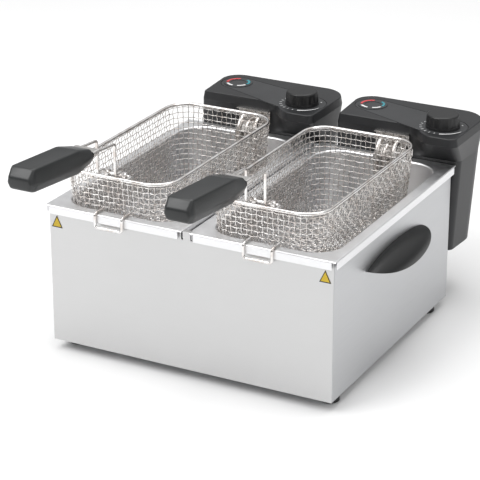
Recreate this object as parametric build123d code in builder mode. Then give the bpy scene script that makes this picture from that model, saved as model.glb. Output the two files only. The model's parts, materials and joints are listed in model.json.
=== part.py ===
"""Twin-tank electric deep fryer: casing, two lift-out oil tanks, two hang-on control heads, two baskets.

Millimetres: +X right, +Y to the back, +Z up. Sizes are taken from the floor under the middle of the tank
flanges, and save() moves each piece so that the origin is on the floor under the middle of the whole object.
"""

import os

from math import tan, radians

from build123d import *

os.makedirs("parts", exist_ok=True)

# ---- driving dimensions -------------------------------------------------------------------
FLANGE_W = 440.0  # both tank flanges, edge to edge
FLANGE_D = 405.0
TOP_Z = 218.5  # upper face of the tank flanges above the floor
FOOT_H = 15.0
SHEET = 1.0  # stainless sheet
CASE_W, CASE_D = 431.0, 396.0
SHELF = 5.0  # width of the casing's top edge, folded inwards
LIP = 12.0  # turned-down edge of a flange
LIP_OPEN = 6.0  # how far the lips stop short of a corner
TANK_GAP = 12.0  # between the two flanges
TANK_X = 113.0  # tank centre from the middle plane
OPENING_W, OPENING_D, OPENING_R = 182.0, 370.0, 40.0
TANK_DEPTH = 150.0

FOOT_X, FOOT_Y, FOOT_R = 197.0, 163.0, 13.0
SCREW_R = 2.0
CUP_LIP_Z, CUP_HIGH, CUP_HALF, CUP_OUT = 150.0, 26.0, 112.0, 33.0  # side handle
CUP_WALL, CUP_ARCH = 3.5, 330.0
BOSS_Y, BOSS_Z, BOSS_R = 60.0, 164.0, 5.0
SEAM = 1.5  # open line between the front panel and the side walls
RETURN = 8.0  # depth of the front panel's folded sides
RAIL_W, RAIL_H, RAIL_TOP = 8.0, 16.0, 211.0
LABEL_X, LABEL_Z, LABEL_W, LABEL_H = 203.5, 186.0, 17.0, 17.5

HEAD_LEFT = -83.0  # left edge of a head from its tank centre
HEAD_FRONT = FLANGE_D / 2 + 1.0
HEAD_W, HEAD_D = 199.0, 101.0
HEAD_Z0, HEAD_TOP = 83.0, 267.5
HEAD_WALL = 3.0
BULGE = 35.0  # how far the knob shelf leans out over the tank
SHELF_SIDE = 5.0  # how far it leans out to the right, short of the other tank's flange
SHELF_RIM, SHELF_DROP = 12.0, 45.0
RIM_LEAN = 0.18  # how far the head's upper rim leans in for its height
SHELF_START, SHELF_END = 112.0, 166.0  # where the shelf's curve leaves the front and where it is full
BRACKET_U = 90.0  # centre of the element bracket, from the head's left edge
KNOB_U, KNOB_V, KNOB_R, KNOB_H = 161.0, 15.0, 25.0, 20.0
LAMP_U, LAMP_V, LAMP_R = 31.0, 58.0, 22.0
LENS_IN, LENS_OUT = 15.0, 18.5
RED_ARC, GREEN_ARC = (104, 200), (-9, 61)
PANEL_T, GROOVE = 1.5, 1.0  # inlaid top panel and the groove round it
THERMO_TOP = HEAD_TOP - HEAD_WALL - PANEL_T
RESET_U, RESET_Z, RESET_R = 100.0, 150.0, 4.0
GLAND_U, GLAND_V, GLAND_R = 60.0, 55.0, 7.0

PLATE_T, PLATE_W, TONGUE_W = 1.5, 52.0, 44.0  # element bracket
PLATE_LOW, PLATE_HIGH, PLATE_LIP = TOP_Z + 14.5, TOP_Z + 35.0, 9.0
TUBE_R, TUBE_Z = 4.0, 245.0  # heating element
LEG_GAP, LEG_Y = 13.0, 175.0  # each element leg from the bracket centre, and where the legs go down
LOOP_Z = TOP_Z - TANK_DEPTH + 23.0
LOOP_OUT, LOOP_IN = 62.0, 22.0
LOOP_FRONT, LOOP_BACK = -150.0, 112.0
BULB_R, BULB_Z = 3.0, 238.0
BOLT_R, BOLT_Z = 1.5, 246.0
BOLTS_U = (BRACKET_U - 22, BRACKET_U, BRACKET_U + 22)

BASKET_SHIFT = -8.0  # where the baskets hang, from the tank centre
RIM_W, RIM_D, RIM_R, RIM_Z = 170.0, 329.0, 38.0, 267.5
RIM_Y = -22.0
RIM_WIRE = 2.5
BASKET_H, BASKET_TAPER, BASKET_WALL = 125.0, 5.0, 1.6
WIRE = 2.0  # radius of hook, bracket and handle wires
HOOK_HALF, HOOK_DROP = 21.0, 18.0
HANDLE_HALF = 14.0
HOOK_SHIFT, HANDLE_SHIFT = 4.0, -10.0  # hook and handle from the basket's middle
PIN_HALF = 24.0  # half the width of the loop that the handle turns on
PIVOT_Y = RIM_Y - RIM_D / 2 + 29.0
PIVOT_Z = RIM_Z - 4.5
HANDLE_TOP = 317.0
GRIP_Y1, GRIP_LEN, GRIP_TOP = -244.0, 148.0, 336.0
GRIP_RISE = 0.078  # how much higher the grip gets towards its front, for its length
GRIP_WIRE_Z = 322.0  # wires where they enter the grip
WIRE_IN_GRIP = 34.0

MIDDLE_Y = (HEAD_FRONT + HEAD_D + GRIP_Y1 - GRIP_LEN) / 2  # of the whole object, front to back

CASE_Z0 = FOOT_H
CASE_Z1 = TOP_Z - SHEET
SIDES = {"left": -1, "right": 1}


def save(piece, name):
    """Move a finished piece so that the whole object is centred on the origin, label it and write it."""
    placed = piece.part.moved(Location((0, -MIDDLE_Y, 0)))
    placed.label = name
    export_step(placed, f"parts/{name}.step")


def corner_at(outline, x, y, z):
    """The vertex of an outline nearest to a point."""
    return outline.vertices().sort_by_distance(Vector(x, y, z))[0]


# ---- casing ---------------------------------------------------------------------------------
def lip_slots():
    """Clearance for the middle lips of the two tanks, where they cross the casing."""
    with BuildPart() as slots:
        with Locations((0, 0, CASE_Z1)):
            with GridLocations(TANK_GAP + 2 * SHEET, 1, 2, 1):
                Box(3 * SHEET, CASE_D + LIP, 2 * LIP)
    return slots.part


def make_front_panel():
    height = CASE_Z1 - CASE_Z0
    front = -CASE_D / 2
    with BuildPart() as panel:
        with Locations((0, front + SHEET / 2, CASE_Z0 + height / 2)):
            Box(CASE_W, SHEET, height)
        with Locations((0, front + 3.5, CASE_Z1 - SHEET / 2)):
            Box(CASE_W - 4, 7, SHEET)
        with Locations((0, front, CASE_Z0 + LIP + (height - LIP) / 2)):
            with GridLocations(CASE_W - 4 * SHEET, 1, 2, 1):
                Box(SHEET, RETURN, height - LIP, align=(Align.CENTER, Align.MIN, Align.CENTER))
        corners = panel.edges().filter_by(Axis.Z).group_by(Axis.Y)[0]
        fillet(corners, 0.8)
        add(lip_slots(), mode=Mode.SUBTRACT)
    save(panel, "front_panel")


def make_casing_wrap():
    """Left side, back and right side in one bent sheet, with a narrow shelf inwards along the top."""
    with BuildPart() as wrap:
        with BuildSketch(Plane.XY.offset(CASE_Z0)):
            with Locations((0, SHEET / 2)):
                RectangleRounded(CASE_W, CASE_D - SHEET, 3)
                RectangleRounded(CASE_W - 2 * SHEET, CASE_D - 3 * SHEET, 2, mode=Mode.SUBTRACT)
            with Locations((0, -CASE_D / 2)):
                Rectangle(CASE_W, 2 * (SHEET + SEAM), mode=Mode.SUBTRACT)
        extrude(amount=CASE_Z1 - CASE_Z0)
        with BuildSketch(Plane.XY.offset(CASE_Z1 - SHEET)):
            with Locations((0, SHEET / 2)):
                RectangleRounded(CASE_W, CASE_D - SHEET, 3)
                Rectangle(CASE_W - 2 * SHELF, CASE_D - 2 * SHELF, mode=Mode.SUBTRACT)
            with Locations((0, -CASE_D / 2 + 4)):
                Rectangle(CASE_W + 4, 8 + SHEET, mode=Mode.SUBTRACT)
        extrude(amount=SHEET)
        for side in SIDES.values():
            for y in (-BOSS_Y, BOSS_Y):
                with Locations(Location((side * (CASE_W / 2 - SHEET / 2), y, BOSS_Z), (0, 90, 0))):
                    Cylinder(SCREW_R + 0.2, 3 * SHEET, mode=Mode.SUBTRACT)
        add(lip_slots(), mode=Mode.SUBTRACT)
    save(wrap, "casing_wrap")


def make_base_plate():
    width, depth = CASE_W - 2 * SHEET, CASE_D - 2 * SHEET
    with BuildPart() as base:
        with BuildSketch(Plane.XY.offset(CASE_Z0)):
            RectangleRounded(width, depth, 2)
        extrude(amount=LIP)
        with BuildSketch(Plane.XY.offset(CASE_Z0 + SHEET)):
            RectangleRounded(width - 2 * SHEET, depth - 2 * SHEET, 1)
        extrude(amount=LIP, mode=Mode.SUBTRACT)
        with Locations((0, 0, CASE_Z0)):
            with GridLocations(2 * FOOT_X, 2 * FOOT_Y, 2, 2):
                Cylinder(SCREW_R + 0.1, 3 * SHEET, mode=Mode.SUBTRACT)
        with BuildSketch(Plane.XY.offset(CASE_Z0 - SHEET)):
            for x in (-TANK_X, TANK_X):
                with Locations((x, 0)):
                    with GridLocations(0, 24, 1, 7):
                        SlotOverall(90, 6)
        extrude(amount=3 * SHEET, mode=Mode.SUBTRACT)
    save(base, "base_plate")


def make_feet():
    with BuildPart() as feet:
        with GridLocations(2 * FOOT_X, 2 * FOOT_Y, 2, 2):
            Cylinder(FOOT_R, FOOT_H, align=(Align.CENTER, Align.CENTER, Align.MIN))
        chamfer(feet.edges().group_by(Axis.Z)[0], 1.5)
        with GridLocations(2 * FOOT_X, 2 * FOOT_Y, 2, 2):
            Cylinder(5, 6, align=(Align.CENTER, Align.CENTER, Align.MIN), mode=Mode.SUBTRACT)
            Cylinder(SCREW_R + 0.1, FOOT_H, align=(Align.CENTER, Align.CENTER, Align.MIN), mode=Mode.SUBTRACT)
    save(feet, "feet")


def make_foot_screws():
    """A pan-head screw and a hexagon nut through each foot."""
    low = (Align.CENTER, Align.CENTER, Align.MIN)
    with BuildPart() as screws:
        with Locations((0, 0, 3.4)):
            with GridLocations(2 * FOOT_X, 2 * FOOT_Y, 2, 2):
                Cylinder(4, 2.6, align=low)
        with Locations((0, 0, 6)):
            with GridLocations(2 * FOOT_X, 2 * FOOT_Y, 2, 2):
                Cylinder(SCREW_R, 14, align=low)
        with BuildSketch(Plane.XY.offset(CASE_Z0 + SHEET)):
            with GridLocations(2 * FOOT_X, 2 * FOOT_Y, 2, 2):
                RegularPolygon(4, 6)
        extrude(amount=3.2)
    save(screws, "foot_screws")


def make_centre_rail():
    """A channel between the two tanks, from the front panel to the back of the casing."""
    length = CASE_D - 2 * SHEET
    with BuildPart() as rail:
        with Locations((0, 0, RAIL_TOP - RAIL_H / 2)):
            Box(RAIL_W, length, RAIL_H)
        with Locations((0, 0, RAIL_TOP - RAIL_H / 2 - SHEET)):
            Box(RAIL_W - 2 * SHEET, length, RAIL_H, mode=Mode.SUBTRACT)
    save(rail, "centre_rail")


def make_caution_labels():
    """Plain triangles stuck to the front panel, with no symbol."""
    with BuildPart() as labels:
        with BuildSketch(Plane.XZ.offset(CASE_D / 2)):
            for x in (-LABEL_X, LABEL_X):
                with Locations((x, LABEL_Z)):
                    Polygon((-LABEL_W / 2, 0), (LABEL_W / 2, 0), (0, LABEL_H), align=None)
        extrude(amount=0.3)
    save(labels, "caution_labels")


def cup_form(side, inset):
    """A flattened egg, half sunk in the casing wall: the outer or inner form of a side handle."""
    size = (CUP_OUT - inset, CUP_HALF - inset, CUP_HIGH - inset)
    with BuildPart() as form:
        add(scale(Sphere(1, mode=Mode.PRIVATE), by=size, mode=Mode.PRIVATE).moved(
            Location((side * CASE_W / 2, 0, CUP_LIP_Z))))
    return form.part


def make_side_handle(name, side):
    """A hollow cup that fingers reach into from below, on the side wall, with an arched lower lip."""
    reach = CUP_OUT + 10
    with BuildPart() as cup:
        for y in (-BOSS_Y, BOSS_Y):
            with Locations(Location((side * (CASE_W / 2 + reach / 2), y, BOSS_Z), (0, 90, 0))):
                Cylinder(BOSS_R, reach)
        add(cup_form(side, 0), mode=Mode.INTERSECT)
        with BuildPart(mode=Mode.PRIVATE) as shell:
            add(cup_form(side, 0))
            add(cup_form(side, CUP_WALL), mode=Mode.SUBTRACT)
        add(shell.part)
        with Locations((side * CASE_W / 2, 0, CUP_LIP_Z)):
            Box(2 * reach, 2 * CUP_HALF, reach, align=(
                Align.MIN if side > 0 else Align.MAX, Align.CENTER, Align.MIN), mode=Mode.INTERSECT)
        with Locations(Location((side * CASE_W / 2, 0, CUP_LIP_Z + CUP_ARCH), (0, 90, 0))):
            Cylinder(CUP_ARCH, 4 * reach, mode=Mode.INTERSECT)
        for y in (-BOSS_Y, BOSS_Y):
            with Locations(Location((side * (CASE_W / 2 + 6), y, BOSS_Z), (0, 90, 0))):
                Cylinder(SCREW_R, 12, mode=Mode.SUBTRACT)
    save(cup, name)


def make_side_handle_screws():
    """Pan-head screws from inside the casing into the handle bosses."""
    with BuildPart() as screws:
        for side in SIDES.values():
            for y in (-BOSS_Y, BOSS_Y):
                with Locations(Location((side * (CASE_W / 2 + 3), y, BOSS_Z), (0, 90, 0))):
                    Cylinder(SCREW_R, 14)
                with Locations(Location((side * (CASE_W / 2 - SHEET - 1.5), y, BOSS_Z), (0, 90, 0))):
                    Cylinder(2 * SCREW_R, 3)
    save(screws, "side_handle_screws")


# ---- oil tank -------------------------------------------------------------------------------
def make_tank(name, side):
    """Pressed pan with a flat flange, a rolled edge and turned-down lips that are open at the corners."""
    centre = side * TANK_X
    flange_x = side * (FLANGE_W + TANK_GAP) / 4
    flange_w = (FLANGE_W - TANK_GAP) / 2
    under = TOP_Z - SHEET
    with BuildPart() as hollow:
        with BuildSketch(Plane.XY.offset(TOP_Z - LIP - 1)):
            with Locations((flange_x, 0)):
                Rectangle(flange_w - 2 * SHEET, FLANGE_D - 2 * SHEET)
        extrude(amount=LIP)
        fillet(hollow.faces().sort_by(Axis.Z)[-1].edges(), 1)
    with BuildPart() as bowl:
        with BuildSketch(Plane.XY.offset(TOP_Z)):
            with Locations((centre, 0)):
                RectangleRounded(OPENING_W, OPENING_D, OPENING_R)
        extrude(amount=SHEET - TANK_DEPTH)
        fillet(bowl.faces().sort_by(Axis.Z)[0].edges(), 14)
    with BuildPart() as tank:
        with BuildSketch(Plane.XY.offset(TOP_Z - LIP)):
            with Locations((flange_x, 0)):
                Rectangle(flange_w, FLANGE_D)
        extrude(amount=LIP)
        fillet(tank.faces().sort_by(Axis.Z)[-1].edges(), 2)
        add(hollow.part, mode=Mode.SUBTRACT)
        with BuildSketch(Plane.XY.offset(under)):
            with Locations((centre, 0)):
                RectangleRounded(OPENING_W + 2 * SHEET, OPENING_D + 2 * SHEET, OPENING_R + SHEET)
        extrude(amount=SHEET - TANK_DEPTH)
        crease = tank.edges().filter_by_position(Axis.Z, under - 0.01, under + 0.01)
        inside = [e for e in crease if abs(e.center().X - centre) < OPENING_W / 2 + 3
                  and abs(e.center().Y) < OPENING_D / 2 + 3]
        fillet(inside, 4)
        fillet(tank.faces().sort_by(Axis.Z)[0].edges(), 15)
        add(bowl.part, mode=Mode.SUBTRACT)
        mouth = [e for e in tank.edges().filter_by_position(Axis.Z, TOP_Z - 0.01, TOP_Z + 0.01)
                 if abs(e.center().X - centre) < OPENING_W / 2 + 1
                 and abs(e.center().Y) < OPENING_D / 2 + 1]
        fillet(mouth, 3)
        with Locations((flange_x, 0, TOP_Z - LIP / 2 - 1.6)):
            with GridLocations(flange_w, FLANGE_D, 2, 2):
                Box(2 * LIP_OPEN, 2 * LIP_OPEN, LIP, mode=Mode.SUBTRACT)
    save(tank, name)


# ---- control head ---------------------------------------------------------------------------
def head_outline(z, x0, bulge, shrink, inset):
    """Plan of the head: straight front, a shelf bulging out to the right, and round back corners."""
    front = HEAD_FRONT + inset
    shelf = HEAD_FRONT - BULGE * bulge + inset
    right = x0 + HEAD_W - 3 + SHELF_SIDE * bulge - shrink - inset
    back = HEAD_FRONT + HEAD_D - 0.8 * shrink - inset
    rear_right = x0 + HEAD_W + 3 - shrink - inset
    left, rear_left = x0 + inset, x0 - 7 + inset
    start, end = x0 + SHELF_START, x0 + SHELF_END
    with BuildSketch(Plane.XY.offset(z)) as plan:
        with BuildLine():
            Line((left, front), (start, front))
            Bezier((start, front), (start + 22, front), (end - 28, shelf), (end, shelf))
            Line((end, shelf), (right, shelf))
            Line((right, shelf), (rear_right, back))
            Line((rear_right, back), (rear_left, back))
            Line((rear_left, back), (left, front))
        make_face()
        fillet(corner_at(plan, right, shelf, z), 11 - inset)
        fillet(corner_at(plan, rear_right, back, z), 40 - inset)
        fillet(corner_at(plan, rear_left, back, z), 30 - inset)
        fillet(corner_at(plan, left, front, z), 5 - inset)
    return plan.sketch


def head_body(x0, inset, z0, z1):
    """Solid of the head between z0 and z1, with its walls moved in by inset."""
    shelf_low, shelf_high = HEAD_TOP - SHELF_DROP, HEAD_TOP - SHELF_RIM
    bottom = head_outline(z0, x0, 0.0, 10, inset)
    waist = head_outline(shelf_low, x0, 0.0, 2, inset)
    shelf = head_outline(shelf_high, x0, 1.0, 0, inset)
    crown = head_outline(z1, x0, 1.0, 0, inset + RIM_LEAN * (z1 - shelf_high))
    with BuildPart() as body:
        loft([bottom, waist], ruled=True)
        loft([waist, shelf], ruled=True)
        loft([shelf, crown], ruled=True)
    return body.part


def panel_outline(z, x0, grow):
    """The inlaid top panel: circles round the lamps and the knob, and what lies between."""
    lamp = Vector(x0 + LAMP_U, HEAD_FRONT + LAMP_V)
    knob = Vector(x0 + KNOB_U, HEAD_FRONT + KNOB_V)
    with BuildSketch(Plane.XY.offset(z)) as outline:
        with Locations((lamp.X, lamp.Y)):
            Circle(LAMP_R + 4 + grow)
        with Locations((knob.X, knob.Y)):
            Circle(KNOB_R + 11 + grow)
        make_hull()
    return outline.sketch


def make_head_housing(name, x0):
    back = HEAD_FRONT + HEAD_D
    outside = head_body(x0, 0, HEAD_Z0, HEAD_TOP)
    inside = head_body(x0, HEAD_WALL, HEAD_Z0, HEAD_TOP - HEAD_WALL - PANEL_T)
    with BuildPart() as housing:
        add(outside)
        fillet(housing.faces().sort_by(Axis.Z)[-1].edges(), 1.6)
        add(inside, mode=Mode.SUBTRACT)
        extrude(panel_outline(HEAD_TOP, x0, GROOVE), amount=-PANEL_T, mode=Mode.SUBTRACT)
        with Locations((x0 + KNOB_U, HEAD_FRONT + KNOB_V, HEAD_TOP)):
            Cylinder(5.2, 20, mode=Mode.SUBTRACT)
        for u in (BRACKET_U - LEG_GAP, BRACKET_U + LEG_GAP):
            with Locations(Location((x0 + u, HEAD_FRONT, TUBE_Z), (90, 0, 0))):
                Cylinder(TUBE_R, 12, mode=Mode.SUBTRACT)
        with Locations(Location((x0 + BRACKET_U, HEAD_FRONT, BULB_Z), (90, 0, 0))):
            Cylinder(BULB_R, 12, mode=Mode.SUBTRACT)
        for u in BOLTS_U:
            with Locations(Location((x0 + u, HEAD_FRONT, BOLT_Z), (90, 0, 0))):
                Cylinder(BOLT_R, 12, mode=Mode.SUBTRACT)
        with Locations(Location((x0 + RESET_U, back, RESET_Z), (90, 0, 0))):
            Cylinder(RESET_R + 0.4, 30, mode=Mode.SUBTRACT)
        with Locations((x0 + BRACKET_U, HEAD_FRONT, (HEAD_Z0 + PLATE_HIGH) / 2)):
            Box(PLATE_W + 0.8, 2 * PLATE_LIP, PLATE_HIGH - HEAD_Z0 + 0.8,
                align=(Align.CENTER, Align.MAX, Align.CENTER), mode=Mode.SUBTRACT)
    save(housing, name)


def make_head_base_cover(name, x0):
    with BuildPart() as cover:
        extrude(head_outline(HEAD_Z0, x0, 0.0, 10, HEAD_WALL + 0.2), amount=HEAD_WALL)
        with Locations((x0 + GLAND_U, HEAD_FRONT + GLAND_V, HEAD_Z0)):
            Cylinder(GLAND_R, 10, mode=Mode.SUBTRACT)
        with BuildSketch(Plane.XY.offset(HEAD_Z0)):
            with Locations((x0 + 130, HEAD_FRONT + 48)):
                with GridLocations(0, 9, 1, 5):
                    SlotOverall(50, 4)
        extrude(amount=HEAD_WALL, mode=Mode.SUBTRACT)
    save(cover, name)


def make_cord_gland(name, x0):
    """Flanged bush where the supply lead would enter."""
    with BuildPart() as gland:
        with Locations((x0 + GLAND_U, HEAD_FRONT + GLAND_V, HEAD_Z0)):
            Cylinder(GLAND_R + 2, 3, align=(Align.CENTER, Align.CENTER, Align.MAX))
            Cylinder(GLAND_R, 10, align=(Align.CENTER, Align.CENTER, Align.MIN))
            Cylinder(GLAND_R - 3, 30, mode=Mode.SUBTRACT)
    save(gland, name)


def make_top_panel(name, x0):
    with BuildPart() as panel:
        extrude(panel_outline(HEAD_TOP - PANEL_T, x0, 0), amount=PANEL_T)
        with Locations((x0 + KNOB_U, HEAD_FRONT + KNOB_V, HEAD_TOP)):
            Cylinder(5.2, 20, mode=Mode.SUBTRACT)
    save(panel, name)


def lamp_plane(x0, z):
    return Plane(origin=(x0 + LAMP_U, HEAD_FRONT + LAMP_V, z))


def lens_band(x0, arc):
    """A flat band of a ring on the top panel, between two angles in degrees."""
    start, stop = arc
    with BuildSketch(lamp_plane(x0, HEAD_TOP)) as band:
        with BuildLine():
            outer = CenterArc((0, 0), LENS_OUT, start, stop - start)
            inner = CenterArc((0, 0), LENS_IN, start, stop - start)
            Line(outer @ 0, inner @ 0)
            Line(outer @ 1, inner @ 1)
        make_face()
    return band.sketch


def make_indicator_bezel(name, x0):
    with BuildPart() as bezel:
        with BuildSketch(lamp_plane(x0, HEAD_TOP)):
            Circle(LAMP_R)
        extrude(amount=1.2)
        chamfer(bezel.faces().sort_by(Axis.Z)[-1].edges(), 0.5)
        with BuildSketch(lamp_plane(x0, HEAD_TOP + 0.6)):
            Circle(12)
        extrude(amount=2, mode=Mode.SUBTRACT)
        for arc in (RED_ARC, GREEN_ARC):
            extrude(lens_band(x0, arc), amount=3, mode=Mode.SUBTRACT)
    save(bezel, name)


def make_lens(name, x0, arc):
    with BuildPart() as lens:
        extrude(lens_band(x0, arc), amount=1.8)
        fillet(lens.faces().sort_by(Axis.Z)[-1].edges(), 0.5)
    save(lens, name)


def make_knob(name, x0):
    gap = 0.5
    base = HEAD_TOP + gap
    scallops, scallop_r = 12, 15.0
    with BuildPart() as knob:
        with Locations((x0 + KNOB_U, HEAD_FRONT + KNOB_V, base)):
            Cone(KNOB_R, KNOB_R - 1.5, KNOB_H, align=(Align.CENTER, Align.CENTER, Align.MIN))
        fillet(knob.edges().sort_by(Axis.Z)[-1], 3)
        with Locations((x0 + KNOB_U, HEAD_FRONT + KNOB_V, base + 4)):
            with PolarLocations(KNOB_R + scallop_r - 1.6, scallops):
                Cylinder(scallop_r, KNOB_H, align=(Align.CENTER, Align.CENTER, Align.MIN), mode=Mode.SUBTRACT)
        with Locations((x0 + KNOB_U, HEAD_FRONT + KNOB_V, base)):
            Cylinder(3, 14, align=(Align.CENTER, Align.CENTER, Align.MIN), mode=Mode.SUBTRACT)
    save(knob, name)


def make_thermostat(name, x0):
    """Capillary thermostat under the top, with the bush that its shaft turns in."""
    x, y = x0 + KNOB_U, HEAD_FRONT + KNOB_V
    with BuildPart() as thermostat:
        with Locations((x, y, THERMO_TOP)):
            Box(42, 26, 24, align=(Align.CENTER, Align.CENTER, Align.MAX))
        fillet(thermostat.edges().filter_by(Axis.Z), 3)
        with Locations((x, y, THERMO_TOP)):
            Cylinder(5, 4, align=(Align.CENTER, Align.CENTER, Align.MIN))
            Cylinder(3.05, 20, mode=Mode.SUBTRACT)
        with Locations((x, y, THERMO_TOP - 24)):
            with GridLocations(24, 12, 2, 2):
                Box(6, 0.8, 8, align=(Align.CENTER, Align.CENTER, Align.MAX))
    save(thermostat, name)


def make_thermostat_shaft(name, x0):
    with BuildPart() as shaft:
        with Locations((x0 + KNOB_U, HEAD_FRONT + KNOB_V, THERMO_TOP - 9.5)):
            Cylinder(3, 28, align=(Align.CENTER, Align.CENTER, Align.MIN))
    save(shaft, name)


def make_element_bracket(name, x0):
    """Folded plate: screwed to the head, lipped at the top, with a tongue hooked over the tank flange."""
    x = x0 + BRACKET_U
    low, high = PLATE_LOW, PLATE_HIGH
    hook_y = OPENING_D / 2 - 3.0
    seat = TOP_Z + 0.3
    with BuildPart() as bracket:
        with Locations((x, HEAD_FRONT - PLATE_T / 2, (low + high) / 2)):
            Box(PLATE_W, PLATE_T, high - low)
        with Locations((x, HEAD_FRONT - PLATE_LIP / 2, high - PLATE_T / 2)):
            Box(PLATE_W, PLATE_LIP, PLATE_T)
        with Locations((x, HEAD_FRONT - PLATE_T / 2, (seat + low) / 2)):
            Box(TONGUE_W, PLATE_T, low - seat)
        with Locations((x, (hook_y + HEAD_FRONT) / 2, seat + PLATE_T / 2)):
            Box(TONGUE_W, HEAD_FRONT - hook_y, PLATE_T)
        with Locations((x, hook_y + PLATE_T / 2, seat + PLATE_T)):
            Box(TONGUE_W, PLATE_T, 18, align=(Align.CENTER, Align.CENTER, Align.MAX))
        for u in (-LEG_GAP, LEG_GAP):
            with Locations(Location((x + u, HEAD_FRONT, TUBE_Z), (90, 0, 0))):
                Cylinder(TUBE_R, 12, mode=Mode.SUBTRACT)
        with Locations(Location((x, HEAD_FRONT, BULB_Z), (90, 0, 0))):
            Cylinder(BULB_R, 12, mode=Mode.SUBTRACT)
        for u in BOLTS_U:
            with Locations(Location((x0 + u, HEAD_FRONT, BOLT_Z), (90, 0, 0))):
                Cylinder(BOLT_R, 12, mode=Mode.SUBTRACT)
    save(bracket, name)


def make_bracket_screws(name, x0):
    with BuildPart() as screws:
        for u in BOLTS_U:
            with Locations(Location((x0 + u, HEAD_FRONT - 1.5, BOLT_Z), (90, 0, 0))):
                Cylinder(BOLT_R, 7.5, align=(Align.CENTER, Align.CENTER, Align.MAX))
                Cylinder(2.8, 1.6, align=(Align.CENTER, Align.CENTER, Align.MIN))
    save(screws, name)


def make_heating_element(name, x0):
    """Sheathed tube: over the tank edge, down the back wall and in four runs above the floor."""
    x = x0 + BRACKET_U
    half = [
        (x - LEG_GAP, HEAD_FRONT + 22, TUBE_Z),
        (x - LEG_GAP, LEG_Y, TUBE_Z),
        (x - LEG_GAP, LEG_Y, LOOP_Z),
        (x - LEG_GAP, LOOP_BACK, LOOP_Z),
        (x - LOOP_OUT, LOOP_BACK, LOOP_Z),
        (x - LOOP_OUT, LOOP_FRONT, LOOP_Z),
        (x - LOOP_IN, LOOP_FRONT, LOOP_Z),
        (x - LOOP_IN, LOOP_BACK - 50, LOOP_Z),
    ]
    other = [(2 * x - px, py, pz) for px, py, pz in reversed(half)]
    with BuildPart() as element:
        with BuildLine() as route:
            FilletPolyline(*half, *other, radius=[24, 16, 16, 16, 16, 16, 16, 16, 16, 16, 16, 16, 16, 24])
        with BuildSketch(Plane(origin=half[0], z_dir=(0, -1, 0))):
            Circle(TUBE_R)
        sweep(path=route.wires()[0])
    save(element, name)


def make_thermostat_bulb(name, x0):
    """Sheath of the thermostat's sensor, between the element's legs."""
    x = x0 + BRACKET_U
    points = [(x, HEAD_FRONT + 16, BULB_Z), (x, LEG_Y - 3, BULB_Z), (x, LEG_Y - 3, LOOP_Z + 14)]
    with BuildPart() as bulb:
        with BuildLine() as route:
            FilletPolyline(*points, radius=16)
        with BuildSketch(Plane(origin=points[0], z_dir=(0, -1, 0))):
            Circle(BULB_R)
        sweep(path=route.wires()[0])
        fillet(bulb.faces().sort_by(Axis.Z)[0].edges(), 2)
    save(bulb, name)


def make_reset_button(name, x0):
    """Overheat reset on the back of the head."""
    back = HEAD_FRONT + HEAD_D - 2.5
    with BuildPart() as button:
        with Locations(Location((x0 + RESET_U, back, RESET_Z), (90, 0, 0))):
            Cylinder(RESET_R, 18, align=(Align.CENTER, Align.CENTER, Align.MIN))
        fillet(button.faces().sort_by(Axis.Y)[-1].edges(), 1)
    save(button, name)


def make_safety_microswitch(name, x0):
    """Switch behind the bracket: it cuts the supply when the head is off the tank."""
    with BuildPart() as switch:
        with Locations((x0 + BRACKET_U, HEAD_FRONT + HEAD_WALL + 5.2, 205)):
            Box(28, 10, 16)
        with Locations((x0 + BRACKET_U, HEAD_FRONT + HEAD_WALL + 5.2, 213)):
            Box(20, 5, 4, align=(Align.CENTER, Align.CENTER, Align.MIN))
        for x in (-9, 0, 9):
            with Locations((x0 + BRACKET_U + x, HEAD_FRONT + HEAD_WALL + 5.2, 197)):
                Box(4, 0.8, 7, align=(Align.CENTER, Align.CENTER, Align.MAX))
    save(switch, name)


def make_terminal_block(name, x0):
    with BuildPart() as block:
        with Locations((x0 + 50, HEAD_FRONT + 60, 86)):
            with Locations((60, 0, 0)):
                Box(60, 20, 14, align=(Align.CENTER, Align.CENTER, Align.MIN))
        with Locations((x0 + 110, HEAD_FRONT + 60, 100)):
            with GridLocations(12, 0, 5, 1):
                Cylinder(3, 6, mode=Mode.SUBTRACT)
    save(block, name)


# ---- basket and folding handle ----------------------------------------------------------------
def basket_outline(z, x, inset):
    """Plan of the basket at height z, narrower towards the floor of the basket."""
    draw_in = (RIM_Z - z) * tan(radians(BASKET_TAPER)) + inset
    with BuildSketch(Plane.XY.offset(z)) as plan:
        with Locations((x, RIM_Y)):
            RectangleRounded(RIM_W - 2 * draw_in, RIM_D - 2 * draw_in, RIM_R - draw_in)
    return plan.sketch


def make_basket_mesh(name, x):
    """The woven bag as a plain thin tray of its true outer shape."""
    top, low = RIM_Z - RIM_WIRE, RIM_Z - BASKET_H
    with BuildPart() as hollow:
        loft([basket_outline(low + BASKET_WALL, x, BASKET_WALL), basket_outline(top + 1, x, BASKET_WALL)])
        fillet(hollow.faces().sort_by(Axis.Z)[0].edges(), 14)
    with BuildPart() as tray:
        loft([basket_outline(low, x, 0), basket_outline(top, x, 0)])
        fillet(tray.faces().sort_by(Axis.Z)[0].edges(), 16)
        add(hollow.part, mode=Mode.SUBTRACT)
    save(tray, name)


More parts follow.
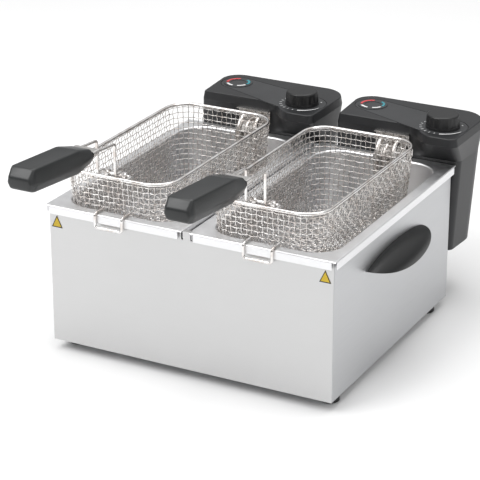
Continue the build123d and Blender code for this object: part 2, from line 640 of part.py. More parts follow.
def make_basket_rim(name, x):
    with BuildPart() as rim:
        half_w, half_d = RIM_W / 2 - RIM_WIRE, RIM_D / 2 - RIM_WIRE
        with BuildLine() as route:
            corners = [(x - half_w, RIM_Y - half_d, RIM_Z), (x + half_w, RIM_Y - half_d, RIM_Z),
                       (x + half_w, RIM_Y + half_d, RIM_Z), (x - half_w, RIM_Y + half_d, RIM_Z)]
            FilletPolyline(*corners, radius=RIM_R - RIM_WIRE, close=True)
        with BuildSketch(Plane(origin=(x, RIM_Y - half_d, RIM_Z), z_dir=(1, 0, 0))):
            Circle(RIM_WIRE)
        sweep(path=route.wires()[0])
    save(rim, name)


def bent_wire(points, radius, bend):
    """A round wire through the points, with a bend at each inner one."""
    direction = Vector(*points[1]) - Vector(*points[0])
    with BuildPart() as wire:
        with BuildLine() as route:
            FilletPolyline(*points, radius=bend)
        with BuildSketch(Plane(origin=points[0], z_dir=direction)):
            Circle(radius)
        sweep(path=route.wires()[0])
    return wire.part


def make_basket_hook(name, x):
    """Bent wire that hangs the basket on the front lip of the tank."""
    over = TOP_Z + WIRE + 0.3
    out = -FLANGE_D / 2 - WIRE - 0.4
    wall = RIM_Y - RIM_D / 2 + (RIM_Z - over) * tan(radians(BASKET_TAPER)) - 0.5
    low = TOP_Z - HOOK_DROP
    points = [(x - HOOK_HALF, wall, over), (x - HOOK_HALF, out, over), (x - HOOK_HALF, out, low),
              (x + HOOK_HALF, out, low), (x + HOOK_HALF, out, over), (x + HOOK_HALF, wall, over)]
    with BuildPart() as hook:
        add(bent_wire(points, WIRE, 4.5))
    save(hook, name)


def make_handle_bracket(name, x):
    """Wire loop welded inside the front of the basket: its far side is the handle's hinge pin."""
    wall = RIM_Y - RIM_D / 2 + BASKET_WALL + 1.2
    points = [(x - PIN_HALF, wall, PIVOT_Z), (x - PIN_HALF, PIVOT_Y, PIVOT_Z),
              (x + PIN_HALF, PIVOT_Y, PIVOT_Z), (x + PIN_HALF, wall, PIVOT_Z)]
    with BuildPart() as bracket:
        add(bent_wire(points, WIRE, 4.5))
    save(bracket, name)


def make_handle_wire(name, x):
    """Two wires from eyes on the hinge pin, over the rim, up and forward into the grip."""
    over = RIM_Z + RIM_WIRE + WIRE + 0.3
    stand = RIM_Y - RIM_D / 2 + RIM_WIRE
    eye_r, eye_w = 5.0, 5.0
    end = GRIP_Y1 - WIRE_IN_GRIP
    rise = (GRIP_WIRE_Z - HANDLE_TOP) / (stand - GRIP_Y1)
    with BuildPart() as wires:
        for side in (-1, 1):
            px = x + side * HANDLE_HALF
            points = [(px, PIVOT_Y - 3.4, PIVOT_Z + 1.6), (px, PIVOT_Y - 13, over), (px, stand, over),
                      (px, stand, HANDLE_TOP), (px, end, HANDLE_TOP + rise * (stand - end))]
            add(bent_wire(points, WIRE, 4))
            with Locations(Location((px, PIVOT_Y, PIVOT_Z), (0, 90, 0))):
                Cylinder(eye_r, eye_w)
        with Locations(Location((x, PIVOT_Y, PIVOT_Z), (0, 90, 0))):
            Cylinder(WIRE + 0.1, 60, mode=Mode.SUBTRACT)
    save(wires, name)


def grip_section(x, y, top, mid, low):
    """Cross-section of the grip at y: three pairs of corners, as (half width, depth below the top line)."""
    crown = GRIP_TOP + GRIP_RISE * (GRIP_Y1 - y)
    corners = [(half, crown - depth) for half, depth in (top, mid, low)]
    with BuildSketch(Plane.XZ.offset(-y)) as section:
        with Locations((x, 0)):
            Polygon(*corners, *[(-half, z) for half, z in reversed(corners)], align=None)
    return section.sketch


def wire_bores(x, end_y):
    """The two straight wire ends from the top bend to end_y, to cut from what they go through."""
    stand = RIM_Y - RIM_D / 2 + RIM_WIRE
    rise = (GRIP_WIRE_Z - HANDLE_TOP) / (stand - GRIP_Y1)
    with BuildPart() as bores:
        for side in (-1, 1):
            first = Vector(x + side * HANDLE_HALF, stand, HANDLE_TOP)
            last = Vector(x + side * HANDLE_HALF, end_y, HANDLE_TOP + rise * (stand - end_y))
            with BuildSketch(Plane(origin=first, z_dir=last - first)):
                Circle(WIRE)
            extrude(amount=(last - first).length)
    return bores.part


def make_handle_grip(name, x):
    """Moulded grip with a flat top, steep sides and drafted ends, bored for the two wires."""
    front = GRIP_Y1 - GRIP_LEN
    nose = grip_section(x, front, (15, 13), (18, 20), (14, 28))
    shoulder = grip_section(x, front + 10, (17.5, 0), (21, 21), (16, 32))
    heel = grip_section(x, GRIP_Y1 - 34, (18, 0), (22, 20), (17, 33))
    tail = grip_section(x, GRIP_Y1, (15, 7), (20, 16), (15, 26))
    with BuildPart() as grip:
        loft([nose, shoulder], ruled=True)
        loft([shoulder, heel], ruled=True)
        loft([heel, tail], ruled=True)
        add(wire_bores(x, GRIP_Y1 - WIRE_IN_GRIP), mode=Mode.SUBTRACT)
    save(grip, name)


def make_grip_ferrule(name, x):
    """Folded steel clip over the two wires at the back of the grip."""
    rise = (GRIP_WIRE_Z - HANDLE_TOP) / (RIM_Y - RIM_D / 2 + RIM_WIRE - GRIP_Y1)
    with BuildPart() as ferrule:
        with Locations((x, GRIP_Y1, GRIP_WIRE_Z - 7 * rise)):
            Box(2 * HANDLE_HALF + 10, 14, 8, align=(Align.CENTER, Align.MIN, Align.CENTER))
        fillet(ferrule.edges().filter_by(Axis.Y), 2.5)
        add(wire_bores(x, GRIP_Y1 - 2), mode=Mode.SUBTRACT)
    save(ferrule, name)


def make_casing():
    make_front_panel()
    make_casing_wrap()
    make_base_plate()
    make_feet()
    make_foot_screws()
    make_centre_rail()
    make_caution_labels()
    for label, side in SIDES.items():
        make_side_handle(f"side_handle_{label}", side)
    make_side_handle_screws()


def make_half(label, side):
    """Everything that belongs to one tank: the tank, its control head, its basket and its handle."""
    head_x = side * TANK_X + HEAD_LEFT
    basket_x = side * TANK_X + BASKET_SHIFT
    handle_x = basket_x + HANDLE_SHIFT
    make_tank(f"oil_tank_{label}", side)
    make_head_housing(f"head_housing_{label}", head_x)
    make_head_base_cover(f"head_base_cover_{label}", head_x)
    make_cord_gland(f"cord_gland_{label}", head_x)
    make_top_panel(f"top_panel_{label}", head_x)
    make_indicator_bezel(f"indicator_bezel_{label}", head_x)
    make_lens(f"red_lens_{label}", head_x, RED_ARC)
    make_lens(f"green_lens_{label}", head_x, GREEN_ARC)
    make_knob(f"knob_{label}", head_x)
    make_thermostat(f"thermostat_{label}", head_x)
    make_thermostat_shaft(f"thermostat_shaft_{label}", head_x)
    make_element_bracket(f"element_bracket_{label}", head_x)
    make_bracket_screws(f"bracket_screws_{label}", head_x)
    make_heating_element(f"heating_element_{label}", head_x)
    make_thermostat_bulb(f"thermostat_bulb_{label}", head_x)
    make_reset_button(f"reset_button_{label}", head_x)
    make_safety_microswitch(f"safety_microswitch_{label}", head_x)
    make_terminal_block(f"terminal_block_{label}", head_x)
    make_basket_mesh(f"basket_mesh_{label}", basket_x)
    make_basket_rim(f"basket_rim_{label}", basket_x)
    make_basket_hook(f"basket_hook_{label}", basket_x + HOOK_SHIFT)
    make_handle_bracket(f"handle_bracket_{label}", handle_x)
    make_handle_wire(f"handle_wire_{label}", handle_x)
    make_handle_grip(f"handle_grip_{label}", handle_x)
    make_grip_ferrule(f"grip_ferrule_{label}", handle_x)


make_casing()
for half_label, half_side in SIDES.items():
    make_half(half_label, half_side)
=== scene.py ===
"""Looks of the twin deep fryer: woven baskets, moulded grips, dial marks, steel and plastic finishes."""

import json
import math

import bmesh
import bpy
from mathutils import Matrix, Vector


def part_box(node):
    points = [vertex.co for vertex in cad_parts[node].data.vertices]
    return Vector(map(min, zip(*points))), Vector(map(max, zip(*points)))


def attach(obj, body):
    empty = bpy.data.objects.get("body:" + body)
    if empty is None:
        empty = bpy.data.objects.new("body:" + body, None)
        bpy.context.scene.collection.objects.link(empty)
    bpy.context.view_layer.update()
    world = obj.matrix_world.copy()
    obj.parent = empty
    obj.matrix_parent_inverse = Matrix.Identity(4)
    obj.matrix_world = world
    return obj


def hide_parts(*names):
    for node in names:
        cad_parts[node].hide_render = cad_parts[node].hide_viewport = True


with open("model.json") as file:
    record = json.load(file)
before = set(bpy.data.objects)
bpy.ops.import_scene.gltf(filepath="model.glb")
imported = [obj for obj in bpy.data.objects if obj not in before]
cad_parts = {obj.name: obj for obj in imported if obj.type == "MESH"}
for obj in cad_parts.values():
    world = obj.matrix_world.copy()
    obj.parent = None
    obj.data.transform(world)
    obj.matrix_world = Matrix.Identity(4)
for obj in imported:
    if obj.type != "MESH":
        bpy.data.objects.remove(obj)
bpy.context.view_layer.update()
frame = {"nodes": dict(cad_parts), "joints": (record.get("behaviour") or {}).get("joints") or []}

SIDES = ("left", "right")
NODES = frame["nodes"]
JOINTS = {joint["name"]: joint for joint in frame["joints"]}


# ---- places, all from the frame -------------------------------------------------------------
def middle(node):
    """Centre of a CAD node's box."""
    low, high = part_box(node)
    return (low + high) / 2


HOME = (middle("oil_tank_left") + middle("oil_tank_right")) / 2
HOME.z = 0.0  # on the floor, under the middle of the two tanks


# ---- materials --------------------------------------------------------------------------------
class Recipe:
    """A node material under construction, with a principled shader and object coordinates."""

    def __init__(self, name, metallic=0.0, roughness=0.5, **settings):
        self.material = bpy.data.materials.new(name)
        self.material.use_nodes = True
        self.nodes = self.material.node_tree.nodes
        self.links = self.material.node_tree.links
        self.shader = self.nodes["Principled BSDF"]
        self.shader.inputs["Metallic"].default_value = metallic
        self.shader.inputs["Roughness"].default_value = roughness
        for key, value in settings.items():
            self.shader.inputs[key.replace("_", " ")].default_value = value
        self.coordinates = self.nodes.new("ShaderNodeTexCoord").outputs["Object"]

    def noise(self, scale, detail=3.0, stretch=(1, 1, 1), rough=0.5):
        """A noise pattern; scale is in waves per metre, stretch multiplies it along each axis."""
        mapping = self.nodes.new("ShaderNodeMapping")
        mapping.inputs["Scale"].default_value = stretch
        texture = self.nodes.new("ShaderNodeTexNoise")
        texture.inputs["Scale"].default_value = scale
        texture.inputs["Detail"].default_value = detail
        texture.inputs["Roughness"].default_value = rough
        self.links.new(self.coordinates, mapping.inputs["Vector"])
        self.links.new(mapping.outputs["Vector"], texture.inputs["Vector"])
        return texture.outputs["Fac"]

    def spread(self, value, low, high, start=0.3, end=0.7):
        """Maps a pattern's values from start..end to low..high."""
        node = self.nodes.new("ShaderNodeMapRange")
        for key, number in zip(("From Min", "From Max", "To Min", "To Max"), (start, end, low, high)):
            node.inputs[key].default_value = number
        self.links.new(value, node.inputs["Value"])
        return node.outputs["Result"]

    def mix(self, factor, first, second):
        """Colour that goes from first to second with factor."""
        node = self.nodes.new("ShaderNodeMix")
        node.data_type = "RGBA"
        self.links.new(factor, node.inputs["Factor"])
        for socket, colour in ((node.inputs[6], first), (node.inputs[7], second)):
            if isinstance(colour, tuple):
                socket.default_value = (*colour, 1)
            else:
                self.links.new(colour, socket)
        return node.outputs[2]

    def colour(self, value):
        self.links.new(value, self.shader.inputs["Base Color"])

    def roughness(self, value):
        self.links.new(value, self.shader.inputs["Roughness"])

    def bump(self, value, strength, distance):
        node = self.nodes.new("ShaderNodeBump")
        node.inputs["Strength"].default_value = strength
        node.inputs["Distance"].default_value = distance
        self.links.new(value, node.inputs["Height"])
        self.links.new(node.outputs["Normal"], self.shader.inputs["Normal"])


def steel(name, tone, roughness, stretch, contrast=0.06, cloud=0.05, bump=0.12):
    """Brushed stainless sheet: fine lines along the short axis of stretch, and faint clouds."""
    recipe = Recipe(name, metallic=1.0, roughness=roughness, Specular_IOR_Level=0.5)
    lines = recipe.noise(1.0, 6.0, stretch, 0.6)
    clouds = recipe.noise(9.0, 3.0)
    light = tuple(min(c * (1 + contrast), 1) for c in tone)
    dark = tuple(c * (1 - contrast) for c in tone)
    stained = tuple(c * (1 - cloud) for c in light)
    recipe.colour(recipe.mix(lines, recipe.mix(recipe.spread(clouds, 0, 1), dark, stained), light))
    recipe.roughness(recipe.spread(lines, roughness * 0.82, roughness * 1.18))
    recipe.bump(lines, bump, 0.0002)
    return recipe.material


def wire_steel(name, tone, stain, roughness):
    """Bright plated wire with a light brown bloom in places."""
    recipe = Recipe(name, metallic=1.0, roughness=roughness)
    bloom = recipe.noise(60.0, 4.0)
    recipe.colour(recipe.mix(recipe.spread(bloom, 0, 1, 0.42, 0.72), tone, stain))
    recipe.roughness(recipe.spread(recipe.noise(200.0, 2.0), roughness * 0.9, roughness * 1.15))
    recipe.bump(recipe.noise(300.0, 2.0), 0.02, 0.0001)
    return recipe.material


def plastic(name, tone, roughness, grain=1800.0, depth=0.18, vary=0.18, **settings):
    """Moulded plastic with a fine grain and a slight cloud in its colour."""
    recipe = Recipe(name, roughness=roughness, **settings)
    cloud = recipe.noise(14.0, 3.0)
    deep = tuple(c * (1 - vary) for c in tone)
    pale = tuple(c * (1 + vary) for c in tone)
    recipe.colour(recipe.mix(recipe.spread(cloud, 0, 1), deep, pale))
    speckle = recipe.noise(grain, 2.0)
    recipe.roughness(recipe.spread(speckle, roughness * 0.88, roughness * 1.12))
    recipe.bump(speckle, depth, 0.0002)
    return recipe.material


ALONG_X, ALONG_Y = (14, 1500, 1500), (1500, 14, 1500)
LOOKS = {
    "panel": steel("front_panel_steel", (0.60, 0.60, 0.60), 0.38, ALONG_X, 0.02, 0.02, 0.05),
    "side": steel("side_sheet_steel", (0.55, 0.555, 0.565), 0.38, ALONG_Y, 0.02, 0.02, 0.05),
    "tank": steel("tank_steel", (0.85, 0.85, 0.86), 0.40, (120, 120, 120), 0.015, 0.03, 0.02),
    "plate": steel("bracket_steel", (0.80, 0.78, 0.76), 0.25, ALONG_X, 0.05, 0.08),
    "wire": wire_steel("mesh_wire", (0.83, 0.81, 0.79), (0.60, 0.54, 0.50), 0.22),
    "rim": wire_steel("rim_wire", (0.88, 0.87, 0.86), (0.62, 0.56, 0.52), 0.16),
    "element": wire_steel("element_sheath", (0.80, 0.77, 0.74), (0.50, 0.44, 0.40), 0.28),
    "screw": wire_steel("screw_steel", (0.84, 0.84, 0.84), (0.60, 0.58, 0.55), 0.22),
    "head": plastic("head_plastic", (0.014, 0.0145, 0.016), 0.42),
    "panel_top": plastic("head_panel_plastic", (0.030, 0.031, 0.033), 0.46),
    "knob": plastic("knob_plastic", (0.009, 0.009, 0.0095), 0.38),
    "grip": plastic("grip_plastic", (0.021, 0.0225, 0.023), 0.34),
    "cup": plastic("side_handle_plastic", (0.005, 0.0053, 0.0056), 0.42),
    "rubber": plastic("foot_rubber", (0.016, 0.016, 0.016), 0.65),
    "inner": plastic("inner_plastic", (0.52, 0.49, 0.43), 0.5),
    "reset": plastic("reset_plastic", (0.45, 0.02, 0.015), 0.3),
    "red": plastic("red_lens_plastic", (0.62, 0.025, 0.035), 0.22, depth=0.03, Coat_Weight=0.5),
    "green": plastic("green_lens_plastic", (0.0, 0.24, 0.29), 0.22, depth=0.03, Coat_Weight=0.5),
    "yellow": plastic("label_film", (0.62, 0.43, 0.02), 0.4, depth=0.05),
    "ink": plastic("white_ink", (0.72, 0.72, 0.72), 0.5, depth=0.05, vary=0.05),
    "black_ink": plastic("black_ink", (0.012, 0.012, 0.012), 0.5, depth=0.05),
}

FINISH = {
    "panel": ("front_panel",),
    "side": ("casing_wrap", "base_plate"),
    "tank": ("oil_tank", "centre_rail"),
    "plate": ("element_bracket", "grip_ferrule"),
    "rim": ("basket_rim", "basket_hook", "handle_bracket", "handle_wire"),
    "wire": ("basket_mesh",),
    "element": ("heating_element", "thermostat_bulb"),
    "screw": ("foot_screws", "side_handle_screws", "bracket_screws", "thermostat_shaft"),
    "head": ("head_housing", "head_base_cover"),
    "panel_top": ("top_panel", "indicator_bezel"),
    "knob": ("knob",),
    "grip": ("handle_grip",),
    "cup": ("side_handle",),
    "rubber": ("feet", "cord_gland"),
    "inner": ("thermostat", "safety_microswitch", "terminal_block"),
    "reset": ("reset_button",),
    "red": ("red_lens",),
    "green": ("green_lens",),
    "yellow": ("caution_labels",),
}


def stem(name):
    """A node's name without its side."""
    for side in SIDES:
        name = name.removesuffix("_" + side)
    return name


def finish_cad_nodes():
    look_of = {node: look for look, nodes in FINISH.items() for node in nodes}
    for name, node in NODES.items():
        for place in node.material_slots:
            place.material = LOOKS[look_of[stem(name)]]


# ---- pieces in mesh code ------------------------------------------------------------------------
def make_piece(name, vertices, faces, look, body, smooth=True):
    """A new piece that rides on a CAD body."""
    mesh = bpy.data.meshes.new(name)
    mesh.from_pydata(vertices, [], faces)
    mesh.validate()
    if smooth:
        mesh.shade_smooth()
    piece = bpy.data.objects.new(name, mesh)
    bpy.context.scene.collection.objects.link(piece)
    mesh.materials.append(LOOKS[look])
    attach(piece, body)
    return piece


class Tubes:
    """Round wires collected in one mesh."""

    def __init__(self, radius, corners=6):
        self.radius, self.corners = radius, corners
        self.vertices, self.faces = [], []

    def add(self, points, normals, closed=False):
        """One wire through points; normals are the surface normals, never along the wire."""
        count, corners = len(points), self.corners
        start = len(self.vertices)
        for i, (point, normal) in enumerate(zip(points, normals)):
            before = points[i - 1] if i or closed else point
            after = points[(i + 1) % count] if i + 1 < count or closed else point
            along = (after - before).normalized()
            across = along.cross(normal).normalized()
            up = across.cross(along)
            for k in range(corners):
                angle = 2 * math.pi * k / corners
                spoke = across * math.cos(angle) + up * math.sin(angle)
                self.vertices.append(point + spoke * self.radius)
        for i in range(count if closed else count - 1):
            a, b = start + i * corners, start + (i + 1) % count * corners
            for k in range(corners):
                m = (k + 1) % corners
                self.faces.append((a + k, a + m, b + m, b + k))
        if not closed:
            self.faces.append(tuple(start + k for k in reversed(range(corners))))
            last = start + (count - 1) * corners
            self.faces.append(tuple(last + k for k in range(corners)))


# ---- woven basket -------------------------------------------------------------------------------
PITCH = 0.0080  # between neighbouring wires
MESH_WIRE = 0.00062  # radius
CRIMP = 0.00100  # how far a wire bends to pass over the next
FLAT = 0.17  # half the share of a pitch that lies flat on a crossing
TAPER = math.radians(5.0)
BASKET_WALL = 0.0008  # the woven sheet lies in the middle of the CAD wall
FLOOR_BEND = 0.016
BASKET_CORNER = 0.038  # radius of the rim's corners in plan
CORNER_GAPS = 7  # spaces between upright wires round a corner
FIRST_HOOP = 0.6  # of a pitch below the rim
CORNER_SHORT = 0.004  # corner uprights stop this far before the end of the sheet


class Basket:
    """The basket's woven sheet: stations round the rim, and one profile from the rim to the floor."""

    def __init__(self, side):
        self.side = side
        rim_low, rim_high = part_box(f"basket_rim_{side}")
        mesh_low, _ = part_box(f"basket_mesh_{side}")
        self.centre = (rim_low + rim_high) / 2
        self.half_x = (rim_high.x - rim_low.x) / 2
        self.half_y = (rim_high.y - rim_low.y) / 2
        self.corner = BASKET_CORNER
        self.depth = self.centre.z - mesh_low.z
        self.inner_x, self.inner_y = self.half_x - self.corner, self.half_y - self.corner
        self.stations_x = self.spaced(self.inner_x)
        self.stations_y = self.spaced(self.inner_y)
        self.stations = self.make_stations()
        self.wall_length = (self.depth - FLOOR_BEND) / math.cos(TAPER)
        self.bend_length = FLOOR_BEND * (math.pi / 2 - TAPER)
        self.wall_offset = self.wall_length * math.sin(TAPER) + BASKET_WALL
        self.floor_length = self.corner - self.wall_offset - FLOOR_BEND * math.cos(TAPER)
        self.length = self.wall_length + self.bend_length + self.floor_length
        hoop_count = int((self.length - PITCH * 0.9) / PITCH) + 1
        self.hoops = [PITCH * (j + FIRST_HOOP) for j in range(hoop_count)]

    @staticmethod
    def spaced(half):
        """Evenly spaced wires over a straight side, one at each end, near one pitch apart."""
        gaps = 2 * round(half / PITCH)
        return [-half + 2 * half * i / gaps for i in range(gaps + 1)]

    def make_stations(self):
        """(x, y, outward x, outward y) at the centre line of each upright wire, anticlockwise."""
        ix, iy = self.inner_x, self.inner_y
        stations = []
        sides = (
            ([(x, -iy) for x in self.stations_x], -90),
            ([(ix, y) for y in self.stations_y], 0),
            ([(x, iy) for x in reversed(self.stations_x)], 90),
            ([(-ix, y) for y in reversed(self.stations_y)], 180),
        )
        for places, heading in sides:
            stations += [(x, y, heading) for x, y in places]
            x, y = places[-1]
            stations += [(x, y, heading + 90 * k / CORNER_GAPS) for k in range(1, CORNER_GAPS)]
        return [(x, y, math.cos(math.radians(a)), math.sin(math.radians(a))) for x, y, a in stations]

    def profile(self, s):
        """(inward offset, depth, outward share of the normal, upward share) at s along the sheet."""
        if s <= self.wall_length:
            return (BASKET_WALL + s * math.sin(TAPER), s * math.cos(TAPER),
                    math.cos(TAPER), -math.sin(TAPER))
        past = s - self.wall_length
        if past <= self.bend_length:
            angle = TAPER + past / FLOOR_BEND
            inward = FLOOR_BEND * (math.cos(TAPER) - math.cos(angle))
            down = FLOOR_BEND * (math.sin(angle) - math.sin(TAPER))
            wall_down = self.wall_length * math.cos(TAPER)
            return self.wall_offset + inward, wall_down + down, math.cos(angle), -math.sin(angle)
        inward = FLOOR_BEND * math.cos(TAPER) + past - self.bend_length
        down = self.wall_length * math.cos(TAPER) + FLOOR_BEND * (1 - math.sin(TAPER))
        return self.wall_offset + inward, down, 0.0, -1.0

    def place(self, station, s, lift):
        """A point on the sheet, lifted along its normal, and that normal."""
        x, y, nx, ny = station
        inward, down, out, up = self.profile(s)
        reach = self.corner - inward
        normal = Vector((nx * out, ny * out, up))
        point = self.centre + Vector((x + nx * reach, y + ny * reach, -down))
        return point + normal * lift, normal

    def upright(self, k, last=None):
        """Samples down the sheet at station k, with a flat at each hoop."""
        station = self.stations[k]
        samples = [self.place(station, 0.0, 0.0)]
        for j, s in enumerate(self.hoops):
            lift = CRIMP * (-1) ** (k + j)
            for shift in (-FLAT, FLAT):
                samples.append(self.place(station, s + shift * PITCH, lift))
        samples.append(self.place(station, self.length if last is None else last, 0.0))
        return samples

    def across_floor(self, start, end, crossings, parity):
        """Samples over the flat floor between two points, with a flat at each crossing."""
        way = end - start
        samples = []
        for j, share in enumerate(crossings):
            lift = CRIMP * (-1) ** (parity + j)
            for shift in (-FLAT, FLAT):
                point = start + way * share + way.normalized() * shift * PITCH
                samples.append((point - Vector((0, 0, lift)), Vector((0, 0, -1))))
        return samples

    def build(self):
        uprights, hoops = Tubes(MESH_WIRE), Tubes(MESH_WIRE)
        nx, ny = len(self.stations_x), len(self.stations_y)
        turns = CORNER_GAPS - 1
        first_right = nx + turns
        first_back = first_right + ny + turns
        first_left = first_back + nx + turns
        for i in range(nx):
            front, back = i, first_back + nx - 1 - i
            down, up = self.upright(front), self.upright(back)
            shares = [(y + self.inner_y) / (2 * self.inner_y) for y in self.stations_y]
            floor = self.across_floor(down[-1][0], up[-1][0], shares[1:-1], i)
            self.join(uprights, down + floor + up[::-1])
        for i in range(ny):
            right, left = first_right + i, first_left + ny - 1 - i
            down, up = self.upright(left), self.upright(right)
            shares = [(x + self.inner_x) / (2 * self.inner_x) for x in self.stations_x]
            floor = self.across_floor(down[-1][0], up[-1][0], shares[1:-1], i + 1)
            self.join(uprights, down + floor + up[::-1])
        straight = set(range(nx)) | set(range(first_right, first_right + ny))
        straight |= set(range(first_back, first_back + nx)) | set(range(first_left, first_left + ny))
        for k in sorted(set(range(len(self.stations))) - straight):
            self.join(uprights, self.upright(k, self.length - CORNER_SHORT))
        for j, s in enumerate(self.hoops):
            samples = []
            for k in range(len(self.stations)):
                lift = -CRIMP * (-1) ** (k + j)
                samples += self.beside(k, s, lift)
            self.join(hoops, samples, closed=True)
        for kind, tubes in (("uprights", uprights), ("hoops", hoops)):
            piece = make_piece(f"basket_mesh_{kind}_{self.side}", tubes.vertices, tubes.faces, "wire",
                               f"basket_{self.side}")
            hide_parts(f"basket_mesh_{self.side}")

    def beside(self, k, s, lift):
        """The flat of a hoop over station k: one sample a little before it, one a little after."""
        here, normal = self.place(self.stations[k], s, lift)
        samples = []
        for step in (-1, 1):
            other, other_normal = self.place(self.stations[(k + step) % len(self.stations)], s, lift)
            samples.append((here.lerp(other, FLAT), normal.lerp(other_normal, FLAT).normalized()))
        return samples

    @staticmethod
    def join(tubes, samples, closed=False):
        tubes.add([point for point, _ in samples], [normal for _, normal in samples], closed)


# ---- marks on the heads and the labels ------------------------------------------------------------
MARK = 0.00015  # thickness of a printed mark
TICKS, TICK_FROM, TICK_TO = 9, 150, 270  # degrees round the knob
TICK_IN, TICK_OUT, TICK_TURN = 0.030, 0.034, 1.6
POWER_ARC, POWER_IN, POWER_OUT, POWER_TAPER = (283, 345), 0.0315, 0.0345, 0.2
DOT_TURN, DOT_AT, DOT_R = math.radians(36), 0.029, 0.0013
LAMP_ARCS = ((219, 266), (291, 338))
LENS_IN, LENS_OUT = 0.015, 0.0185
LABEL_W, LABEL_EDGE = 0.017, 0.0012


class Prints:
    """Thin flat marks collected in one mesh."""

    def __init__(self):
        self.vertices, self.faces = [], []

    def slab(self, outline, depth):
        """A prism: outline points are Vectors, depth is the Vector from its front to its back."""
        start, count = len(self.vertices), len(outline)
        self.vertices += outline + [point + depth for point in outline]
        self.faces.append(tuple(start + i for i in range(count)))
        self.faces.append(tuple(start + count + i for i in reversed(range(count))))
        for i in range(count):
            j = (i + 1) % count
            self.faces.append((start + i, start + count + i, start + count + j, start + j))

    def arc(self, centre, start, end, inner, outer, taper=1.0):
        """A band round centre between two angles in degrees; its far end is taper times as wide."""
        steps = max(2, round(abs(end - start) / 3))
        outline, back = [], []
        for i in range(steps + 1):
            share = i / steps
            angle = math.radians(start + (end - start) * share)
            way = Vector((math.cos(angle), math.sin(angle), 0))
            half = (outer - inner) / 2 * (1 + (taper - 1) * share)
            outline.append(centre + way * ((inner + outer) / 2 + half))
            back.append(centre + way * ((inner + outer) / 2 - half))
        self.slab(outline + back[::-1], Vector((0, 0, -MARK)))

    def dot(self, centre, radius):
        ring = [centre + Vector((math.cos(a), math.sin(a), 0)) * radius
                for a in (2 * math.pi * i / 20 for i in range(20))]
        self.slab(ring, Vector((0, 0, -MARK)))


def make_dial_marks(side):
    """White scale, arc and dot round the knob, and two arcs between the lamps."""
    prints = Prints()
    knob = Vector(JOINTS[f"knob_{side}_turn"]["pos_m"])
    knob.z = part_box(f"top_panel_{side}")[1].z + MARK
    for i in range(TICKS):
        angle = TICK_FROM + (TICK_TO - TICK_FROM) * i / (TICKS - 1)
        prints.arc(knob, angle - TICK_TURN / 2, angle + TICK_TURN / 2, TICK_IN, TICK_OUT)
    prints.arc(knob, *POWER_ARC, POWER_IN, POWER_OUT, POWER_TAPER)
    prints.dot(knob + Vector((math.cos(DOT_TURN), math.sin(DOT_TURN), 0)) * DOT_AT, DOT_R)
    lamp = middle(f"indicator_bezel_{side}")
    lamp.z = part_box(f"indicator_bezel_{side}")[1].z + MARK
    for start, end in LAMP_ARCS:
        prints.arc(lamp, start, end, LENS_IN, LENS_OUT)
    make_piece(f"dial_marks_{side}", prints.vertices, prints.faces, "ink", f"head_{side}", smooth=False)


def make_label_borders():
    """Dark edge of the two warning triangles."""
    prints = Prints()
    low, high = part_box("caution_labels")
    for middle_x in (low.x + LABEL_W / 2, high.x - LABEL_W / 2):
        heart = Vector((middle_x, low.y - MARK, low.z + (high.z - low.z) / 3))
        corners = [Vector((middle_x - LABEL_W / 2, low.y - MARK, low.z)),
                   Vector((middle_x + LABEL_W / 2, low.y - MARK, low.z)),
                   Vector((middle_x, low.y - MARK, high.z))]
        inner = [corner.lerp(heart, LABEL_EDGE / LABEL_W * 3) for corner in corners]
        for i in range(3):
            j = (i + 1) % 3
            prints.slab([corners[i], corners[j], inner[j], inner[i]], Vector((0, MARK, 0)))
    make_piece("label_borders", prints.vertices, prints.faces, "black_ink", "casing", smooth=False)


# ---- moulded grips ----------------------------------------------------------------------------------
GRIP_ROUND = 0.0028
GRIP_RISE = 0.078  # of the top line towards the front, for its length
NOSE, HEEL = 0.010, 0.034  # lengths of the drafted ends
TIP_CORNERS = ((0.015, 0.013), (0.018, 0.020), (0.014, 0.028))  # (half width, depth below the top line)
SHOULDER_CORNERS = ((0.0175, 0.0), (0.021, 0.021), (0.016, 0.032))
HEEL_CORNERS = ((0.018, 0.0), (0.022, 0.020), (0.017, 0.033))
TAIL_CORNERS = ((0.015, 0.007), (0.020, 0.016), (0.015, 0.026))


def grip_section(x, y, crown, corners):
    """Six corners of the grip's cross-section: pairs of (half width, depth below the crown)."""
    right = [Vector((x + half, y, crown - depth)) for half, depth in corners]
    left = [Vector((x - half, y, crown - depth)) for half, depth in reversed(corners)]
    return right + left


def make_grip(side):
    """The grip with rounded edges: a drafted nose, a flat top, steep sides and a falling heel."""
    low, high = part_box(f"handle_grip_{side}")
    x = (low.x + high.x) / 2
    shoulder = low.y + NOSE  # the top line is highest here
    stations = (
        (low.y, TIP_CORNERS),
        (shoulder, SHOULDER_CORNERS),
        (high.y - HEEL, HEEL_CORNERS),
        (high.y, TAIL_CORNERS),
    )
    sections = [grip_section(x, y, high.z - GRIP_RISE * (y - shoulder), corners) for y, corners in stations]
    form = bmesh.new()
    rings = [[form.verts.new(point) for point in section] for section in sections]
    for first, second in zip(rings, rings[1:]):
        for i in range(6):
            j = (i + 1) % 6
            form.faces.new((first[i], second[i], second[j], first[j]))
    form.faces.new(rings[0])
    form.faces.new(rings[-1][::-1])
    bmesh.ops.recalc_face_normals(form, faces=form.faces)
    bmesh.ops.bevel(form, geom=form.edges[:], offset=GRIP_ROUND, segments=4, profile=0.5,
                    affect="EDGES", clamp_overlap=True)
    form.verts.ensure_lookup_table()
    vertices = [vertex.co.copy() for vertex in form.verts]
    form.verts.index_update()
    faces = [tuple(vertex.index for vertex in face.verts) for face in form.faces]
    form.free()
    piece = make_piece(f"grip_{side}", vertices, faces, "grip", f"handle_{side}")
    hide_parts(f"handle_grip_{side}")


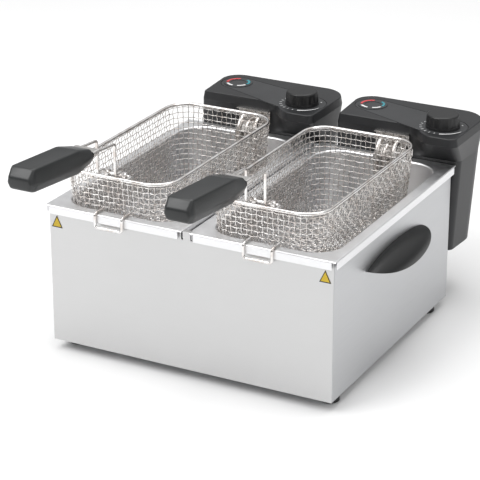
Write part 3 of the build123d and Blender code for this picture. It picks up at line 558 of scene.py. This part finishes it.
# ---- camera, light, floor -------------------------------------------------------------------------
def aim(thing, place, target):
    thing.location = place
    thing.rotation_mode = "QUATERNION"
    thing.rotation_quaternion = (Vector(target) - Vector(place)).to_track_quat("-Z", "Y")


AZIMUTH, ELEVATION, DISTANCE = math.radians(27.76), math.radians(22.46), 2.864
LOOK_AT = HOME + Vector((-0.0245, 0.0, 0.129))
LENS, SENSOR = 150.7, 36.0  # millimetres
LIGHTS = (  # name, place from HOME, size, power
    ("key", (-1.2, -1.6, 2.4), (1.8, 1.8), 46),
    ("top", (0.2, 0.4, 2.8), (2.0, 2.0), 34),
    ("right_fill", (2.4, -0.6, 1.2), (1.2, 1.6), 6),
)
LIGHT_AIM = HOME + Vector((0, 0, 0.15))
FLOOR_HALF = 8.0


def make_camera():
    back = Vector((math.sin(AZIMUTH) * math.cos(ELEVATION), -math.cos(AZIMUTH) * math.cos(ELEVATION),
                   math.sin(ELEVATION)))
    data = bpy.data.cameras.new("camera")
    data.sensor_width, data.lens = SENSOR, LENS
    data.clip_start, data.clip_end = 0.1, 30.0
    camera = bpy.data.objects.new("camera", data)
    bpy.context.scene.collection.objects.link(camera)
    aim(camera, LOOK_AT + back * DISTANCE, LOOK_AT)
    bpy.context.scene.camera = camera


def make_area_light(name, place, size, power):
    data = bpy.data.lights.new(name, "AREA")
    data.shape, data.size, data.size_y = "RECTANGLE", size[0], size[1]
    data.energy = power
    light = bpy.data.objects.new(name, data)
    bpy.context.scene.collection.objects.link(light)
    aim(light, HOME + Vector(place), LIGHT_AIM)


DARK_WALLS, BRIGHT_CEILING = (0.16, 0.165, 0.17, 1), (1.0, 1.0, 1.0, 1)


def make_world():
    """A studio with dim walls and a bright ceiling, so that wires and rounded edges show a dark side."""
    world = bpy.data.worlds.new("studio")
    bpy.context.scene.world = world
    world.use_nodes = True
    nodes, links = world.node_tree.nodes, world.node_tree.links
    background = nodes["Background"]
    background.inputs["Strength"].default_value = 0.8
    split = nodes.new("ShaderNodeSeparateXYZ")
    height = nodes.new("ShaderNodeMapRange")
    height.inputs["From Min"].default_value, height.inputs["From Max"].default_value = 0.1, 0.55
    tone = nodes.new("ShaderNodeMix")
    tone.data_type = "RGBA"
    tone.inputs[6].default_value, tone.inputs[7].default_value = DARK_WALLS, BRIGHT_CEILING
    links.new(nodes.new("ShaderNodeTexCoord").outputs["Generated"], split.inputs["Vector"])
    links.new(split.outputs["Z"], height.inputs["Value"])
    links.new(height.outputs["Result"], tone.inputs["Factor"])
    links.new(tone.outputs[2], background.inputs["Color"])


def make_floor():
    recipe = Recipe("floor_paper", roughness=0.9)
    cloud = recipe.noise(1.5, 2.0)
    recipe.colour(recipe.mix(cloud, (0.86, 0.86, 0.86), (0.90, 0.90, 0.90)))
    corners = [(x * FLOOR_HALF, y * FLOOR_HALF, 0) for x, y in ((-1, -1), (1, -1), (1, 1), (-1, 1))]
    mesh = bpy.data.meshes.new("floor")
    mesh.from_pydata(corners, [], [(0, 1, 2, 3)])
    mesh.materials.append(recipe.material)
    floor = bpy.data.objects.new("floor", mesh)
    bpy.context.scene.collection.objects.link(floor)


bpy.context.scene.view_settings.view_transform = "Standard"
make_camera()
make_world()
for light in LIGHTS:
    make_area_light(*light)
make_floor()
finish_cad_nodes()
for name in SIDES:
    Basket(name).build()
    make_dial_marks(name)
    make_grip(name)
make_label_borders()
